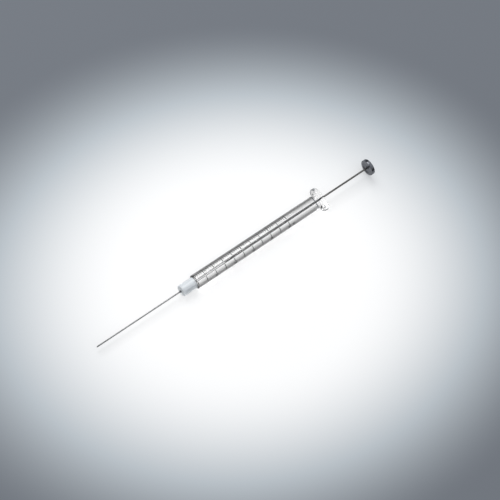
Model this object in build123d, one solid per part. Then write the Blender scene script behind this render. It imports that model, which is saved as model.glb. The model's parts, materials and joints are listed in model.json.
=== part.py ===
from build123d import *
from math import asin, atan, cos, degrees, hypot, pi, radians, sin, sqrt
import os

# Microsyringe, lying on a table with its plunger part-way out. Millimetres, +Z up.
# Every piece is first built along the barrel's own axis: X runs from the needle towards the plunger
# button, and x = 0 is the bottom of the measuring bore, where the scale reads 0.

# ---- driving dimensions --------------------------------------------------------------------------

full_volume = 50.0            # microlitres, which are cubic millimetres
scale_length = 60.0           # from the 0 mark to the full mark
mark_count = 50               # divisions on the scale
marks_per_major = 5
marks_per_numeral = 10
volume_at_rest = 16.6         # what the plunger stands at

barrel_diameter = 7.8
flange_front = 81.9           # the flange's face on the needle side
flange_thickness = 2.5
flange_length = 13.7          # across the two finger ears
flange_width = 9.7            # across the two sides it rests on
flange_flare_radius = 2.0     # hollow blend from the barrel into the flange
flange_rim_radius = 0.5
barrel_edge_chamfer = 0.35    # ground front edge of the glass

nose_diameter = 4.0           # turned-down glass inside the hub
nose_length = 7.0
nose_chamfer = 0.3

hub_diameter = 6.3
hub_length = 8.6
hub_edge_round = 0.8
hub_dimple_radius = 0.7       # countersink in the hub's face, filled with cement
hub_dimple_depth = 0.7

needle_diameter = 0.7
needle_hole_diameter = 0.2
needle_exposed = 52.6         # from the hub's face to the tip
needle_bevel_angle = 20.0     # degrees between the bevel and the needle's axis

cement_climb = 1.1            # how far the bead creeps along the needle
cement_lip = 0.04             # its thickness where it ends
meniscus_radius = 3.0         # of its hollow surface

plunger_clearance = 0.02      # radial, between the rod and the bore
rod_length = 96.1             # from its tip to the button's face
rod_tip_chamfer = 0.1

button_diameter = 9.1
button_thickness = 1.9
button_edge_break = 0.2
button_boss_radius = 1.1      # left standing round the rod
button_groove_radius = 3.3    # outer radius of the turned recess
button_groove_depth = 0.25
button_socket_depth = 1.4     # how far the rod is pressed into the button

mark_height = 0.02            # thickness of the enamel
mark_width = 0.22
major_width = 0.36
tick_arc = (18.0, 72.0)       # degrees round the barrel, from the top towards +Y
upper_arc = (4.0, 72.0)       # a fifth mark is broken over the bore, so that the rod's tip can be read
lower_arc = (-74.0, -20.0)
numbered_arc = (-50.0, -20.0) # lower arc of a tenth mark, cut short for its numeral beyond the end

# ---- worked-out dimensions -----------------------------------------------------------------------

barrel_radius = barrel_diameter / 2
bore_radius = sqrt(full_volume / (pi * scale_length))
rod_radius = bore_radius - plunger_clearance
needle_radius = needle_diameter / 2
nose_radius = nose_diameter / 2
hub_radius = hub_diameter / 2
button_radius = button_diameter / 2
flange_back = flange_front + flange_thickness
mark_spacing = scale_length / mark_count
rod_tip = volume_at_rest / full_volume * scale_length
rod_end = rod_tip + rod_length


def turned(*section):
    """A solid of revolution about the X axis, from the corners (x, radius) of its half section."""
    return revolve(make_face(Polyline(*section, close=True)), Axis.X)


def soft_rim(face, radius, size, into, steps):
    """Corners (x, radius) of a rounded rim, from a face that looks along X to the outer surface.

    The round is turned as a few short tapers. The piece lies on the side of the face that into gives, 1 or -1.
    """
    angles = [radians(90 * step / steps) for step in range(steps + 1)]
    return [(face + into * size * (1 - cos(angle)), radius - size * (1 - sin(angle))) for angle in angles]


def edges_at(part, x, radius):
    """The circular edges of a part that lie at one place along the axis and have one radius."""
    rings = part.edges().filter_by(GeomType.CIRCLE)
    return rings.filter_by(lambda ring: abs(ring.center().X - x) < 0.01 and abs(ring.radius - radius) < 0.01)


# ---- pieces, along their own axis ----------------------------------------------------------------


def glass_barrel():
    """Capillary tube with a nose for the hub, and a flared flange pressed to an oval."""
    tube = turned(
        (-nose_length, needle_radius), (-nose_length, nose_radius), (0, nose_radius), (0, barrel_radius),
        (flange_back, barrel_radius), (flange_back, bore_radius), (0, bore_radius), (0, needle_radius),
    )
    tube = chamfer(edges_at(tube, -nose_length, nose_radius), nose_chamfer)
    tube = chamfer(edges_at(tube, 0, barrel_radius), barrel_edge_chamfer)
    flare_start = flange_front - flange_flare_radius
    flare_top = barrel_radius + flange_flare_radius
    flare_curve = RadiusArc((flare_start, barrel_radius), (flange_front, flare_top), -flange_flare_radius)
    blank_radius = flange_length
    blank_outline = flare_curve + Polyline(
        (flange_front, flare_top), (flange_front, blank_radius), (flange_back, blank_radius),
        (flange_back, bore_radius), (flare_start, bore_radius), (flare_start, barrel_radius),
    )
    blank = revolve(make_face(blank_outline), Axis.X)
    oval = Plane.YZ.offset(flare_start) * Ellipse(flange_length / 2, flange_width / 2)
    barrel = tube + (blank & extrude(oval, flange_back - flare_start))
    rims = barrel.edges().filter_by(lambda edge: edge.geom_type in (GeomType.ELLIPSE, GeomType.BSPLINE))
    return fillet(rims, flange_rim_radius)


def scale_graduations():
    """Thin enamel arcs on the glass, one solid each: one for a plain mark, and two wider ones for every fifth."""
    marks = []
    for number in range(mark_count + 1):
        major = number % marks_per_major == 0
        numbered = number % marks_per_numeral == 0
        width = major_width if major else mark_width
        arcs = [upper_arc, numbered_arc if numbered else lower_arc] if major else [tick_arc]
        middle = max(number * mark_spacing, barrel_edge_chamfer + width / 2)
        section = Pos(middle, barrel_radius + mark_height / 2) * Rectangle(width, mark_height)
        # The half section lies towards +Y, 90 degrees round from the top, and is swept back to the start.
        for start, end in arcs:
            marks.append(Rot(90 - end, 0, 0) * revolve(section, Axis.X, end - start))
    return Compound(marks)


def needle_hub():
    """Plastic sleeve, closed but for the needle's hole, with a countersink in its rounded face."""
    hub = turned(
        (-hub_length, needle_radius), *soft_rim(-hub_length, hub_radius, hub_edge_round, 1, 3),
        (0, hub_radius), (0, nose_radius), (-nose_length, nose_radius), (-nose_length, needle_radius),
    )
    countersink = turned(
        (-hub_length, 0), (-hub_length, hub_dimple_radius), (-hub_length + hub_dimple_depth, 0),
    )
    return hub - countersink


def needle_cannula():
    """Steel tube, square where it meets the bore and ground to a bevel at its tip."""
    tip = -hub_length - needle_exposed
    hole_radius = needle_hole_diameter / 2
    tube = turned((tip, hole_radius), (tip, needle_radius), (0, needle_radius), (0, hole_radius))
    bevel_length = needle_diameter / sin(radians(needle_bevel_angle))
    above = (Align.CENTER, Align.CENTER, Align.MIN)
    block = Box(2 * bevel_length, 2 * needle_diameter, 2 * needle_diameter, align=above)
    ground_away = Pos(tip, 0, -needle_radius) * Rot(0, -needle_bevel_angle, 0) * block
    return tube - ground_away


def needle_cement():
    """Bead that fills the hub's countersink and creeps a little way along the needle."""
    face = -hub_length
    lip_radius = needle_radius + cement_lip
    bottom = face + hub_dimple_depth * (1 - needle_radius / hub_dimple_radius)
    meniscus = RadiusArc((face - cement_climb, lip_radius), (face, hub_dimple_radius), -meniscus_radius)
    outline = meniscus + Polyline(
        (face, hub_dimple_radius), (bottom, needle_radius), (face - cement_climb, needle_radius),
        (face - cement_climb, lip_radius),
    )
    return revolve(make_face(outline), Axis.X)


def plunger_rod():
    """Ground rod, its tip part-way along the bore and its end pressed into the button."""
    end = rod_end + button_socket_depth
    rod = turned((rod_tip, 0), (rod_tip, rod_radius), (end, rod_radius), (end, 0))
    return chamfer(edges_at(rod, rod_tip, rod_radius), rod_tip_chamfer)


def plunger_button():
    """Turned disc with broken edges and a shallow recess round the rod's boss."""
    back = rod_end + button_thickness
    front_rim = soft_rim(rod_end, button_radius, button_edge_break, 1, 1)
    back_rim = soft_rim(back, button_radius, button_edge_break, -1, 1)
    disc = turned(
        (rod_end, rod_radius), *front_rim, *reversed(back_rim), (back, 0),
        (rod_end + button_socket_depth, 0), (rod_end + button_socket_depth, rod_radius),
    )
    slope = button_groove_depth
    recess = turned(
        (rod_end, button_boss_radius), (rod_end + slope, button_boss_radius + slope),
        (rod_end + slope, button_groove_radius - slope), (rod_end, button_groove_radius),
    )
    return disc - recess


pieces = {
    "glass_barrel": glass_barrel(),
    "scale_graduations": scale_graduations(),
    "needle_hub": needle_hub(),
    "needle_cannula": needle_cannula(),
    "needle_cement": needle_cement(),
    "plunger_rod": plunger_rod(),
    "plunger_button": plunger_button(),
}

# ---- how it lies ---------------------------------------------------------------------------------

# It lies on the front edge of the barrel and on the side of the wider flange, so the needle points down
# by less than a degree. The flange's rim is rounded, so the tilt brings the low side of that arc level
# with the barrel's edge.
run = flange_front + flange_rim_radius - barrel_edge_chamfer
drop = (flange_width / 2 - flange_rim_radius) - barrel_radius
tilt = degrees(atan(drop / run) + asin(flange_rim_radius / hypot(run, drop)))
tilted = {name: Rot(0, -tilt, 0) * piece for name, piece in pieces.items()}

box = Compound(list(tilted.values())).bounding_box()
to_rest = Pos(-box.center().X, 0, -box.min.Z)

os.makedirs("parts", exist_ok=True)
for name, piece in tilted.items():
    placed = to_rest * piece
    placed.label = name
    export_step(placed, f"parts/{name}.step")

print("tilt", round(tilt, 3), "lift", round(-box.min.Z, 4), "shift", round(-box.center().X, 4))
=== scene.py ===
import json
from math import atan2, cos, hypot, pi, radians, sin, sqrt, tan

import bmesh
import bpy
from mathutils import Matrix, Vector


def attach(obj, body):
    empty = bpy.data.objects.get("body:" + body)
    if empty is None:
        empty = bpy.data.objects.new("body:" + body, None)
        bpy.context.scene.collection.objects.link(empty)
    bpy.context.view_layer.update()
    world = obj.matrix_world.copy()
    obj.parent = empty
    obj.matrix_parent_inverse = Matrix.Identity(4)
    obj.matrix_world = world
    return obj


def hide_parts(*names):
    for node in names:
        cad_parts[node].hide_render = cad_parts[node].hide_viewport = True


# A glass microsyringe lying on a pale table. Sizes are in millimetres along the syringe's own axis: x runs
# from the needle to the plunger button, and x = 0 is where the scale reads 0. place() turns them into
# metres in the frame's own axes.

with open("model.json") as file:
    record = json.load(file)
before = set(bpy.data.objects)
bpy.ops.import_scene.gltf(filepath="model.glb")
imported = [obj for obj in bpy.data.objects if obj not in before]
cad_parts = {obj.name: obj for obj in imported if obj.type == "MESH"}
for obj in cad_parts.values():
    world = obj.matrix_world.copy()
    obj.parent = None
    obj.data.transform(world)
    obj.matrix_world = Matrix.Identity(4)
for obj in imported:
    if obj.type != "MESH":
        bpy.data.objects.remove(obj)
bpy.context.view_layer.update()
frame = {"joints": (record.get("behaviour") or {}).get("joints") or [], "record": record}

MM = 0.001

# ---- sizes, the same as in the solids -------------------------------------------------------------

full_volume = 50.0
scale_length = 60.0
mark_count = 50
marks_per_major = 5
marks_per_numeral = 10

barrel_radius = 3.9
barrel_edge_chamfer = 0.35
bore_radius = sqrt(full_volume / (pi * scale_length))
flange_front = 81.9
flange_back = flange_front + 2.5
flange_half_length = 6.85
flange_half_width = 4.85
flare_radius = 2.0
flange_rim_radius = 0.5
bore_mouth_chamfer = 0.12

nose_radius = 2.0
nose_length = 7.0
nose_chamfer = 0.3

hub_radius = 3.15
hub_length = 8.6
hub_edge_round = 0.8
hub_back_chamfer = 0.12
dimple_radius = 0.7
dimple_depth = 0.7

needle_radius = 0.35
needle_hole_radius = 0.1
needle_tip = -hub_length - 52.6
needle_bevel_angle = radians(20)

cement_climb = 1.1
cement_lip = 0.04
meniscus_radius = 3.0

rod_tip = 16.6 / full_volume * scale_length
rod_end = rod_tip + 96.1
rod_radius = bore_radius - 0.02
rod_tip_chamfer = 0.1

button_radius = 4.55
button_thickness = 1.9
button_edge_round = 0.2
boss_radius = 1.1
groove_radius = 3.3
groove_depth = 0.25
socket_depth = 1.4

mark_height = 0.02
mark_sink = 0.01              # the enamel is fused a little into the glass
mark_width = 0.22
major_width = 0.36
tick_arc = (18.0, 72.0)       # degrees round the barrel, from the top towards +Y
upper_arc = (4.0, 72.0)       # a fifth mark is broken over the bore
lower_arc = (-74.0, -20.0)
numbered_arc = (-50.0, -20.0)
numeral_angle = -66.0         # where a numeral's middle is
numeral_height = 1.6
numeral_boldness = 0.06       # what each edge of a figure is moved out by
figure_share = 0.7            # a figure's height, as a share of its type size
unit_gap = 3.2                # from the last mark to the unit

# ---- how finely the rounds are cut ----------------------------------------------------------------

round_steps = 8
flare_steps = 14
sharp_angle = radians(30)     # an edge turned more than this stays sharp

# ---- where the syringe lies -----------------------------------------------------------------------

mounts = {mount["name"]: mount for mount in frame["record"]["mounts"]}
axis = Vector(frame["joints"][0]["axis"]).normalized()
side = Vector((0, 1, 0))
rise = axis.cross(side)
zero_point = Vector(mounts["button_back"]["pos_m"]) - (rod_end + button_thickness) * MM * axis


def place(x, radius, angle):
    """The point at x along the axis, at a radius and at an angle from the top towards +Y, in metres."""
    return zero_point + MM * (x * axis + radius * sin(angle) * side + radius * cos(angle) * rise)


# ---- mesh tools -----------------------------------------------------------------------------------


def add_piece(name, vertices, faces, material, node, body, slot):
    """A mesh that stands for a CAD node, smooth but for its real edges."""
    mesh = bpy.data.meshes.new(name)
    mesh.from_pydata([tuple(vertex) for vertex in vertices], [], faces)
    tool = bmesh.new()
    tool.from_mesh(mesh)
    bmesh.ops.recalc_face_normals(tool, faces=tool.faces)
    tool.to_mesh(mesh)
    tool.free()
    mesh.polygons.foreach_set("use_smooth", [True] * len(mesh.polygons))
    mesh.set_sharp_from_angle(angle=sharp_angle)
    mesh.materials.append(material)
    piece = bpy.data.objects.new(name, mesh)
    bpy.context.scene.collection.objects.link(piece)
    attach(piece, body)
    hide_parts(node)
    return piece


def loft(rings, closed):
    """Vertices and faces through rings of points. A ring of one point is a pole; closed joins last to first."""
    vertices, starts = [], []
    for ring in rings:
        starts.append(len(vertices))
        vertices.extend(ring)
    faces = []
    pairs = list(zip(range(len(rings)), range(1, len(rings))))
    if closed:
        pairs.append((len(rings) - 1, 0))
    for low, high in pairs:
        count = max(len(rings[low]), len(rings[high]))
        for column in range(count):
            after = (column + 1) % count
            low_ids = [starts[low]] if len(rings[low]) == 1 else [starts[low] + column, starts[low] + after]
            high_ids = [starts[high]] if len(rings[high]) == 1 else [starts[high] + after, starts[high] + column]
            faces.append(low_ids + high_ids)
    return vertices, faces


def turned(section, columns, closed=True):
    """A surface of revolution from (x, radius) corners; a radius of 0 is a pole."""
    rings = []
    for x, radius in section:
        if radius == 0:
            rings.append([place(x, 0, 0)])
        else:
            rings.append([place(x, radius, 2 * pi * column / columns) for column in range(columns)])
    return loft(rings, closed)


def arc_points(x, radius, size, start, end, steps):
    """Points of an arc about (x, radius) in the half section; angles from +X, in radians."""
    angles = [start + (end - start) * step / steps for step in range(steps + 1)]
    return [(x + size * cos(angle), radius + size * sin(angle)) for angle in angles]


# ---- material tools -------------------------------------------------------------------------------


class Shader:
    """A node material with a Principled surface and short ways to add texture to it."""

    def __init__(self, name, **values):
        self.material = bpy.data.materials.new(name)
        self.material.use_nodes = True
        self.nodes = self.material.node_tree.nodes
        self.links = self.material.node_tree.links
        self.surface = self.nodes["Principled BSDF"]
        for key, value in values.items():
            self.surface.inputs[key.replace("_", " ")].default_value = value

    def add(self, kind, inputs=(), **settings):
        node = self.nodes.new(kind)
        for key, value in settings.items():
            setattr(node, key, value)
        for key, value in dict(inputs).items():
            if isinstance(value, bpy.types.NodeSocket):
                self.links.new(value, node.inputs[key])
            else:
                node.inputs[key].default_value = value
        return node

    def position(self, stretch=(1, 1, 1)):
        """Place in the row frame in metres, scaled per axis."""
        geometry = self.add("ShaderNodeTexCoord")
        mapping = self.add("ShaderNodeMapping", {"Vector": geometry.outputs["Object"]})
        mapping.inputs["Scale"].default_value = stretch
        return mapping.outputs["Vector"]

    def along_axis(self, start, end):
        """0 before one place along the syringe's axis and 1 past another, for a piece that doesn't move."""
        here = self.position()
        away = self.add("ShaderNodeVectorMath", {0: here, 1: tuple(zero_point)}, operation="SUBTRACT")
        along = self.add("ShaderNodeVectorMath", {0: away.outputs["Vector"], 1: tuple(axis)},
                         operation="DOT_PRODUCT")
        ends = {"Value": along.outputs["Value"], "From Min": start * MM, "From Max": end * MM}
        return self.add("ShaderNodeMapRange", ends).outputs["Result"]

    def noise(self, scale, detail=3, stretch=(1, 1, 1)):
        vector = self.position(stretch)
        return self.add("ShaderNodeTexNoise", {"Vector": vector, "Scale": scale, "Detail": detail}).outputs["Fac"]

    def ramp(self, noise, low, high):
        """A noise mapped to the colours between two; most of a noise lies between 0.3 and 0.7."""
        return self.stops(noise, [(0.3, low), (0.7, high)])

    def stops(self, source, levels):
        """A grey source mapped through (position, colour) stops."""
        node = self.add("ShaderNodeValToRGB", {"Fac": source})
        elements = node.color_ramp.elements
        while len(elements) < len(levels):
            elements.new(0.5)
        for element, (position, colour) in zip(elements, levels):
            element.position = position
            element.color = colour
        return node.outputs["Color"]

    def spread(self, source, low, high):
        """A grey source mapped to a range of plain numbers."""
        return self.add("ShaderNodeMapRange", {"Value": source, "To Min": low, "To Max": high}).outputs["Result"]

    def drive(self, socket, source):
        self.links.new(source, self.surface.inputs[socket])

    def let_light_through(self, shader, colour):
        """Put out a clear shader, which lets the lamps' light pass with the colour that one skin gives it."""
        lamp_ray = self.add("ShaderNodeLightPath").outputs["Is Shadow Ray"]
        clear = self.add("ShaderNodeBsdfTransparent", {"Color": colour}).outputs["BSDF"]
        mixed = self.add("ShaderNodeMixShader", {"Fac": lamp_ray, 1: shader, 2: clear})
        self.links.new(mixed.outputs["Shader"], self.nodes["Material Output"].inputs["Surface"])

    def bump(self, height, distance):
        node = self.add("ShaderNodeBump", {"Height": height, "Distance": distance})
        self.drive("Normal", node.outputs["Normal"])


def grey(level):
    return (level, level, level, 1)


# ---- materials ------------------------------------------------------------------------------------

# Shade painted into the glass's colour, against how far its surface faces away from the eye, which draws
# dark edges. It is strong, to come near the photograph's dark edges, so it turns the whole tube dark in oblique
# views, such as low from behind. The tube's painted shade clears again where the surface is only grazed.
tube_painted_shade = [(0.02, grey(0.98)), (0.10, grey(0.88)), (0.20, grey(0.46)), (0.30, grey(0.18)), (0.45, grey(0.08)),
              (0.62, grey(0.15)), (0.75, grey(0.75))]
flange_painted_shade = [(0.25, grey(0.98)), (0.60, grey(0.4))]
bore_painted_shade = [(0.04, grey(0.94)), (0.18, grey(0.08))]


def glass_material():
    """Clear borosilicate tube, drawn, so its faint waviness runs lengthways. Its edges are darkened by shade painted
    into its colour.
    """
    glass = Shader("clear_glass", IOR=1.473, Transmission_Weight=1.0)
    facing = glass.add("ShaderNodeLayerWeight", {"Blend": 0.5}).outputs["Facing"]
    in_flange = glass.along_axis(flange_front - flare_radius, flange_front - flare_radius / 2)
    # Painted shade: the colour darkens where the surface turns away from the eye, in the tube and in the flange.
    painted_edge_shade = glass.add("ShaderNodeMix", {0: in_flange}, data_type="RGBA")
    glass.links.new(glass.stops(facing, tube_painted_shade), painted_edge_shade.inputs["A"])
    glass.links.new(glass.stops(facing, flange_painted_shade), painted_edge_shade.inputs["B"])
    glass.drive("Base Color", painted_edge_shade.outputs["Result"])
    drawn = glass.noise(220, 2, (0.05, 1, 1))
    glass.drive("Roughness", glass.spread(drawn, 0.0, 0.02))
    glass.bump(drawn, 0.000002)
    glass.let_light_through(glass.surface.outputs["BSDF"], grey(0.93))
    return glass.material


def bore_material():
    """The bore's lapped wall, darker at a slant by shade painted into its colour."""
    wall = Shader("bore_wall", IOR=1.473, Transmission_Weight=1.0)
    lapped = wall.noise(3000, 2, (0.05, 1, 1))
    facing = wall.add("ShaderNodeLayerWeight", {"Blend": 0.5}).outputs["Facing"]
    # Painted shade: the wall's colour darkens where it turns away from the eye.
    wall.drive("Base Color", wall.stops(facing, bore_painted_shade))
    wall.drive("Roughness", wall.spread(lapped, 0.0, 0.03))
    wall.let_light_through(wall.surface.outputs["BSDF"], grey(0.96))
    return wall.material


def enamel_material():
    """Black fired print, a little uneven in depth."""
    enamel = Shader("black_enamel", Specular_IOR_Level=0.25)
    speckle = enamel.noise(6000, 4)
    enamel.drive("Base Color", enamel.ramp(speckle, (0.004, 0.004, 0.005, 1), (0.014, 0.014, 0.015, 1)))
    enamel.drive("Roughness", enamel.spread(speckle, 0.08, 0.16))
    return enamel.material


def hub_material():
    """Milky translucent plastic with the glass nose dimly seen through it."""
    plastic = Shader("milky_plastic", IOR=1.5, Transmission_Weight=0.5)
    cloud = plastic.noise(500, 2, (0.1, 1, 1))
    plastic.drive("Base Color", plastic.ramp(cloud, (0.68, 0.71, 0.73, 1), (0.82, 0.845, 0.86, 1)))
    plastic.drive("Roughness", plastic.spread(cloud, 0.3, 0.4))
    plastic.bump(plastic.noise(1500, 2, (0.1, 1, 1)), 0.000002)
    plastic.let_light_through(plastic.surface.outputs["BSDF"], grey(0.75))
    return plastic.material


def cement_material():
    """Dark cured resin."""
    resin = Shader("dark_resin", IOR=1.55)
    blotch = resin.noise(3000, 3)
    resin.drive("Base Color", resin.ramp(blotch, (0.03, 0.03, 0.035, 1), (0.08, 0.08, 0.09, 1)))
    resin.drive("Roughness", resin.spread(blotch, 0.15, 0.4))
    resin.bump(blotch, 0.00003)
    return resin.material


def steel_material(name, low, high, roughness, scratch_scale):
    """Ground or drawn metal with fine lines along its length."""
    steel = Shader(name, Metallic=1.0)
    lines = steel.noise(scratch_scale, 5, (0.03, 1, 1))
    steel.drive("Base Color", steel.ramp(lines, low, high))
    steel.drive("Roughness", steel.spread(lines, roughness[0], roughness[1]))
    steel.bump(lines, 0.000004)
    return steel.material


def button_material():
    """Dark turned metal: rings about the axis left by the tool."""
    metal = Shader("turned_dark_metal", Metallic=1.0)
    coordinates = metal.add("ShaderNodeTexCoord")
    centre = place(rod_end, 0, 0)
    to_axis = metal.add("ShaderNodeMapping", {"Vector": coordinates.outputs["Object"]}, vector_type="POINT")
    to_axis.inputs["Location"].default_value = (0, -centre.y, -centre.z)
    to_axis.inputs["Scale"].default_value = (0, 1, 1)
    length = metal.add("ShaderNodeVectorMath", {0: to_axis.outputs["Vector"]}, operation="LENGTH")
    rings = metal.add("ShaderNodeTexNoise", {"W": length.outputs["Value"], "Scale": 9000, "Detail": 2},
                      noise_dimensions="1D").outputs["Fac"]
    blotch = metal.noise(700, 4)
    metal.drive("Base Color", metal.ramp(blotch, (0.12, 0.125, 0.14, 1), (0.18, 0.185, 0.20, 1)))
    metal.drive("Roughness", metal.spread(rings, 0.2, 0.34))
    metal.bump(rings, 0.000008)
    return metal.material


# ---- the glass barrel -----------------------------------------------------------------------------


def flange_section(angle):
    """Half section of the flange at one angle round the barrel, from the flare to its flat back."""
    slant = hypot(flange_half_length * cos(angle), flange_half_width * sin(angle))
    oval = flange_half_length * flange_half_width / slant
    flare_x = flange_front - flare_radius
    flare_r = barrel_radius + flare_radius
    rim_r = oval - flange_rim_radius
    # The rim's arc touches the flat front where that is wide enough, and the hollow flare elsewhere.
    short = min(rim_r - flare_r, 0)
    rim_x = flare_x + sqrt((flare_radius + flange_rim_radius) ** 2 - short ** 2)
    meet = atan2(short, rim_x - flare_x)
    points = arc_points(flare_x, flare_r, flare_radius, -pi / 2, meet, flare_steps)
    points += arc_points(rim_x, rim_r, flange_rim_radius, pi + meet, pi / 2, round_steps)
    points += arc_points(flange_back - flange_rim_radius, rim_r, flange_rim_radius, pi / 2, 0, round_steps)
    return points


def glass_barrel(columns=192):
    """Nose, tube, bore and flange as one closed skin."""
    front = [
        (-nose_length, needle_radius), (-nose_length, nose_radius - nose_chamfer),
        (-nose_length + nose_chamfer, nose_radius), (0, nose_radius),
        (0, barrel_radius - barrel_edge_chamfer), (barrel_edge_chamfer, barrel_radius),
    ]
    inside = [
        (flange_back, bore_radius + bore_mouth_chamfer), (flange_back - bore_mouth_chamfer, bore_radius),
        (0, bore_radius), (0, needle_radius),
    ]
    columns_of_points = []
    for column in range(columns):
        angle = 2 * pi * column / columns
        section = front + flange_section(angle) + inside
        columns_of_points.append([place(x, radius, angle) for x, radius in section])
    rings = [list(ring) for ring in zip(*columns_of_points)]
    return loft(rings, closed=True)


# ---- the scale ------------------------------------------------------------------------------------


def enamel_strip(x, width, arc, steps_per_degree=0.5):
    """A thin arc of enamel, fused into the glass: rings of four corners, with closed ends."""
    start, end = radians(arc[0]), radians(arc[1])
    steps = max(2, round((arc[1] - arc[0]) * steps_per_degree))
    corners = [
        (x - width / 2, barrel_radius - mark_sink), (x - width / 2, barrel_radius + mark_height),
        (x + width / 2, barrel_radius + mark_height), (x + width / 2, barrel_radius - mark_sink),
    ]
    rings = []
    for step in range(steps + 1):
        angle = start + (end - start) * step / steps
        rings.append([place(cx, radius, angle) for cx, radius in corners])
    vertices, faces = loft(rings, closed=False)
    last = len(vertices) - 4
    faces.append([0, 1, 2, 3])
    faces.append([last, last + 1, last + 2, last + 3])
    return vertices, faces


def numeral(text, x, height):
    """Plain figures wrapped round the barrel, upright when the needle points down."""
    curve = bpy.data.curves.new("figures", "FONT")
    curve.body = text
    curve.size = height / figure_share
    curve.align_x = "CENTER"
    curve.resolution_u = 3
    curve.extrude = (mark_height + mark_sink) / 2
    curve.offset = numeral_boldness
    holder = bpy.data.objects.new("figures", curve)
    flat = bpy.data.meshes.new_from_object(holder)
    middle = radians(numeral_angle)
    vertices = []
    for vertex in flat.vertices:
        across, up, out = vertex.co
        radius = barrel_radius + (mark_height - mark_sink) / 2 + out
        vertices.append(place(x + up - height / 2, radius, middle - across / barrel_radius))
    faces = [list(polygon.vertices) for polygon in flat.polygons]
    bpy.data.objects.remove(holder)
    bpy.data.curves.remove(curve)
    bpy.data.meshes.remove(flat)
    return vertices, faces


def scale_marks():
    vertices, faces = [], []

    def merge(part):
        offset = len(vertices)
        vertices.extend(part[0])
        faces.extend([[index + offset for index in face] for face in part[1]])

    for number in range(mark_count + 1):
        major = number % marks_per_major == 0
        numbered = number % marks_per_numeral == 0
        width = major_width if major else mark_width
        x = max(number * scale_length / mark_count, barrel_edge_chamfer + width / 2)
        arcs = [upper_arc, numbered_arc if numbered else lower_arc] if major else [tick_arc]
        for arc in arcs:
            merge(enamel_strip(x, width, arc))
        if number and numbered:
            merge(numeral(str(number), x, numeral_height))
    merge(numeral("µL", scale_length + unit_gap, numeral_height))
    return vertices, faces


# ---- the small pieces -----------------------------------------------------------------------------


def needle_hub():
    """Rounded sleeve; a hair of room round the nose keeps the two skins apart."""
    room = 0.01
    section = [(-hub_length + dimple_depth * (1 - needle_radius / dimple_radius), needle_radius + room)]
    section += [(-hub_length, dimple_radius + room)]
    section += arc_points(-hub_length + hub_edge_round, hub_radius - hub_edge_round, hub_edge_round, pi, pi / 2,
                          round_steps)
    section += [(-hub_back_chamfer, hub_radius), (-room, hub_radius - hub_back_chamfer), (-room, nose_radius + room)]
    section += [(-nose_length - room, nose_radius + room), (-nose_length - room, needle_radius + room)]
    return turned(section, columns=96)


def needle_cement():
    face = -hub_length
    start = (face - cement_climb, needle_radius + cement_lip)
    end = (face, dimple_radius)
    # The bead's hollow surface is an arc between its lip and the rim of the countersink.
    chord = hypot(end[0] - start[0], end[1] - start[1])
    middle = ((start[0] + end[0]) / 2, (start[1] + end[1]) / 2)
    reach = sqrt(meniscus_radius ** 2 - (chord / 2) ** 2)
    across = (-(end[1] - start[1]) / chord, (end[0] - start[0]) / chord)
    centre = (middle[0] + across[0] * reach, middle[1] + across[1] * reach)
    first = atan2(start[1] - centre[1], start[0] - centre[0])
    last = atan2(end[1] - centre[1], end[0] - centre[0])
    section = arc_points(centre[0], centre[1], meniscus_radius, first, last, round_steps)
    section.append((face + dimple_depth * (1 - needle_radius / dimple_radius), needle_radius))
    section.append((face - cement_climb, needle_radius))
    return turned(section, columns=48)


def needle_cannula(columns=32):
    """Tube whose tip is ground to a bevel that faces upwards."""
    rings = []
    for radius in (needle_radius, needle_hole_radius):
        tip_ring, back_ring = [], []
        for column in range(columns):
            angle = 2 * pi * column / columns
            bevel = (needle_radius + radius * cos(angle)) / tan(needle_bevel_angle)
            tip_ring.append(place(needle_tip + bevel, radius, angle))
            back_ring.append(place(0, radius, angle))
        rings += [tip_ring, back_ring] if radius == needle_radius else [back_ring, tip_ring]
    return loft(rings, closed=True)


def plunger_rod():
    end = rod_end + socket_depth
    section = [
        (rod_tip, 0), (rod_tip, rod_radius - rod_tip_chamfer), (rod_tip + rod_tip_chamfer, rod_radius),
        (end, rod_radius), (end, 0),
    ]
    return turned(section, columns=64, closed=False)


def plunger_button():
    back = rod_end + button_thickness
    edge = button_edge_round
    socket = rod_end + socket_depth
    section = [(socket, 0), (socket, rod_radius), (rod_end, rod_radius), (rod_end, boss_radius)]
    section += [(rod_end + groove_depth, boss_radius + groove_depth)]
    section += [(rod_end + groove_depth, groove_radius - groove_depth), (rod_end, groove_radius)]
    section += arc_points(rod_end + edge, button_radius - edge, edge, pi, pi / 2, round_steps)
    section += arc_points(back - edge, button_radius - edge, edge, pi / 2, 0, round_steps)
    section += [(back, 0)]
    return turned(section, columns=128, closed=False)


rod_steel = steel_material("ground_rod_steel", (0.10, 0.095, 0.09, 1), (0.20, 0.19, 0.18, 1),
                           roughness=(0.15, 0.35), scratch_scale=2500)
needle_steel = steel_material("drawn_needle_steel", grey(0.12), grey(0.20), roughness=(0.2, 0.4), scratch_scale=4000)

barrel = add_piece("glass_tube_and_flange", *glass_barrel(), glass_material(), "glass_barrel", "barrel", "glass")
barrel.data.materials.append(bore_material())
near_bore = 1.1 * bore_radius * MM
for polygon in barrel.data.polygons:
    from_axis = (polygon.center - zero_point).cross(axis).length
    polygon.material_index = 1 if from_axis < near_bore else 0

add_piece("fired_scale", *scale_marks(), enamel_material(), "scale_graduations", "barrel", "enamel")
add_piece("plastic_hub", *needle_hub(), hub_material(), "needle_hub", "barrel", "hub_plastic")
add_piece("needle_tube", *needle_cannula(), needle_steel, "needle_cannula", "barrel", "needle_steel")
add_piece("cement_bead", *needle_cement(), cement_material(), "needle_cement", "barrel", "cement")
add_piece("rod", *plunger_rod(), rod_steel, "plunger_rod", "plunger", "rod_steel")
add_piece("button", *plunger_button(), button_material(), "plunger_button", "plunger", "button_metal")

# ---- floor ----------------------------------------------------------------------------------------

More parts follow.
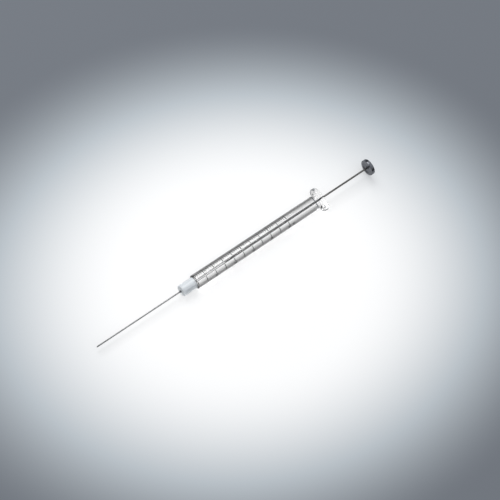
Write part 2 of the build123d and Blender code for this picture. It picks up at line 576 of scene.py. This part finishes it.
floor_half_size = 1.5
# The table's colour paints a pool of light: near white at its centre, fading to dark blue-grey far off.
painted_pool_centre = (-0.0032, -0.0142)  # metres; the brightest place of the table
painted_pool_inner, painted_pool_outer = 0.0518, 0.1631
painted_pool_shape = (0.88, 1.11, 1)      # a little longer than wide
painted_pool_turn = radians(21)
painted_pool_levels = [(0, (0.955, 0.95, 0.945, 1)), (0.6, (0.468, 0.508, 0.54, 1)), (1, (0.165, 0.18, 0.203, 1))]

table_mesh = bpy.data.meshes.new("table")
table_mesh.from_pydata(
    [(-floor_half_size, -floor_half_size, 0), (floor_half_size, -floor_half_size, 0),
     (floor_half_size, floor_half_size, 0), (-floor_half_size, floor_half_size, 0)], [], [(0, 1, 2, 3)])
table = bpy.data.objects.new("table", table_mesh)
bpy.context.scene.collection.objects.link(table)

paper = Shader("pale_paper", Roughness=0.9)
paper.surface.inputs["Specular IOR Level"].default_value = 0.0
place_on_table = paper.add("ShaderNodeTexCoord").outputs["Object"]
shifted = paper.add("ShaderNodeVectorMath", {0: place_on_table, 1: (*painted_pool_centre, 0)}, operation="SUBTRACT")
turned_painted_pool = paper.add("ShaderNodeVectorRotate", {"Vector": shifted.outputs["Vector"], "Angle": painted_pool_turn},
                        rotation_type="Z_AXIS")
shaped = paper.add("ShaderNodeVectorMath", {0: turned_painted_pool.outputs["Vector"], 1: painted_pool_shape}, operation="MULTIPLY")
reach = paper.add("ShaderNodeVectorMath", {0: shaped.outputs["Vector"]}, operation="LENGTH")
ends = {"Value": reach.outputs["Value"], "From Min": painted_pool_inner, "From Max": painted_pool_outer}
painted_pool_fade = paper.add("ShaderNodeMapRange", ends, interpolation_type="SMOOTHSTEP")
# Painted light: the pool's fade becomes the table's colour, which the backdrop below also shows.
table_colour_with_painted_pool = paper.stops(painted_pool_fade.outputs["Result"], painted_pool_levels)
paper.drive("Base Color", table_colour_with_painted_pool)

# Half of what the eye, metal and glass see of the table is its plain colour, which softens the shadows.
plain_share = 0.5
backdrop = paper.add("ShaderNodeEmission", {"Color": table_colour_with_painted_pool, "Strength": 1.0})
ray = paper.add("ShaderNodeLightPath").outputs
seen = paper.add("ShaderNodeMath", {0: ray["Is Camera Ray"], 1: ray["Is Glossy Ray"]}, operation="MAXIMUM")
seen = paper.add("ShaderNodeMath", {0: seen.outputs["Value"], 1: ray["Is Transmission Ray"]}, operation="MAXIMUM")
share = paper.add("ShaderNodeMath", {0: seen.outputs["Value"], 1: plain_share}, operation="MULTIPLY")
mixed = paper.add("ShaderNodeMixShader", {"Fac": share.outputs["Value"], 1: paper.surface.outputs["BSDF"],
                                          2: backdrop.outputs["Emission"]})
paper.links.new(mixed.outputs["Shader"], paper.nodes["Material Output"].inputs["Surface"])
table_mesh.materials.append(paper.material)

# ---- light ----------------------------------------------------------------------------------------


def sky(horizon, zenith, start, end, strength):
    """Light from overhead that fades to a dark room near the horizon."""
    world = bpy.data.worlds.new("studio")
    bpy.context.scene.world = world
    world.use_nodes = True
    nodes, links = world.node_tree.nodes, world.node_tree.links
    direction = nodes.new("ShaderNodeTexCoord")
    height = nodes.new("ShaderNodeSeparateXYZ")
    ramp = nodes.new("ShaderNodeValToRGB")
    ramp.color_ramp.elements[0].position = start
    ramp.color_ramp.elements[0].color = horizon
    ramp.color_ramp.elements[1].position = end
    ramp.color_ramp.elements[1].color = zenith
    links.new(direction.outputs["Generated"], height.inputs["Vector"])
    links.new(height.outputs["Z"], ramp.inputs["Fac"])
    links.new(ramp.outputs["Color"], nodes["Background"].inputs["Color"])
    nodes["Background"].inputs["Strength"].default_value = strength


def softbox(name, place_m, size, power):
    """A square lamp that looks at the syringe."""
    lamp = bpy.data.lights.new(name, "AREA")
    lamp.size = size
    lamp.energy = power
    holder = bpy.data.objects.new(name, lamp)
    holder.location = place_m
    holder.rotation_euler = (Vector((0, 0, 0)) - Vector(place_m)).to_track_quat("-Z", "Y").to_euler()
    bpy.context.scene.collection.objects.link(holder)


sky(horizon=(0.02, 0.022, 0.026, 1), zenith=(0.93, 0.96, 1.0, 1), start=0.25, end=0.75, strength=0.95)
softbox("overhead", place_m=(0.10, 0.79, 0.86), size=0.7, power=10)

# ---- camera ---------------------------------------------------------------------------------------

# The picture is 500 pixels across. The barrel's axis runs up to the right in it, with its needle end nearer.
picture_size = 500
focal_pixels = 1768
pixel_at_axis = 0.5162 * MM       # what one pixel covers where the optical axis passes the syringe
axis_in_picture = radians(33.57)  # the axis's angle above the picture's horizontal
axis_slant = radians(20.5)        # how far the axis leans out of the picture plane
axis_roll = radians(9)            # how far the view leans to the -Y side of the syringe
aim_x = 35.07                     # the place along the axis that the picture's centre shows
aim_offset = 3.75                 # pixels between the axis and the picture's centre

toward = cos(axis_slant) * (cos(axis_roll) * rise - sin(axis_roll) * side) - sin(axis_slant) * axis
along = cos(axis_slant) * axis + sin(axis_slant) * (cos(axis_roll) * rise - sin(axis_roll) * side)
down = -(cos(axis_roll) * side + sin(axis_roll) * rise)
picture_right = cos(axis_in_picture) * along + sin(axis_in_picture) * down
picture_up = sin(axis_in_picture) * along - cos(axis_in_picture) * down

camera_data = bpy.data.cameras.new("camera")
camera_data.sensor_width = 36
camera_data.lens = focal_pixels / picture_size * camera_data.sensor_width
camera_data.clip_start = 0.01
camera = bpy.data.objects.new("camera", camera_data)
eye = place(aim_x, 0, 0) + aim_offset * pixel_at_axis * down + focal_pixels * pixel_at_axis * toward
turn = Matrix((picture_right, picture_up, toward)).transposed().to_4x4()
camera.matrix_world = Matrix.Translation(eye) @ turn
bpy.context.scene.collection.objects.link(camera)
bpy.context.scene.camera = camera

bpy.context.scene.view_settings.view_transform = "Standard"
